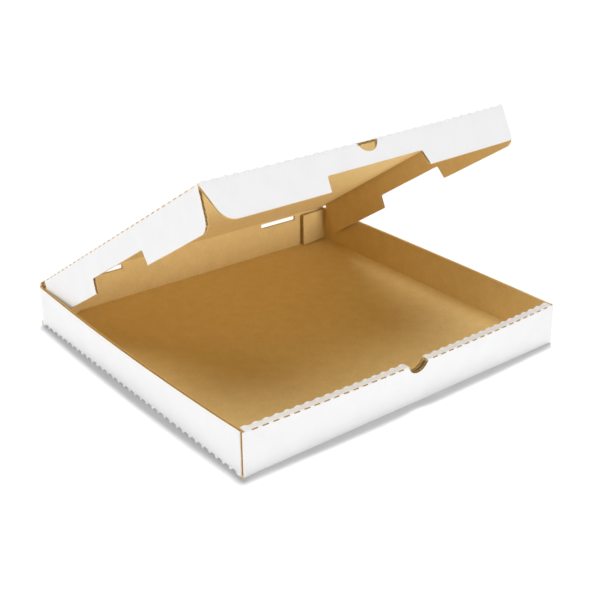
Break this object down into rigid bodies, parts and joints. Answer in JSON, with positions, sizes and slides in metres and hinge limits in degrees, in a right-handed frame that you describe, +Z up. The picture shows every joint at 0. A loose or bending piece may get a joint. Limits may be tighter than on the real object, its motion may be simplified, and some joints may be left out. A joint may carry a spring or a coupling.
{
  "type": "pizza box",
  "caption": "Square folded corrugated board box with a roll-over front wall, thumb notches and a hinged lid with hanging flaps.",
  "frame": {"origin": "centre of the tray's underside", "axes": "+Z up, +Y towards the lid's hinge, -Y towards the front wall, +X to the right seen from the front"},
  "size_m": [0.412, 0.402, 0.2533],
  "materials": {
    "tray_board": "matte white outer liner, brown kraft inner liner",
    "lid_board": "matte white outer liner, brown kraft inner liner"
  },
  "bodies": {
    "tray": {"tray": "tray_board"},
    "lid": {"lid": "lid_board"}
  },
  "joints": [
    {"name": "lid_hinge", "type": "hinge", "parent": "tray", "child": "lid", "pos_m": [0, 0.1995, 0.0485], "axis": [-1, 0, 0], "range_deg": [-32, 148]}
  ]
}
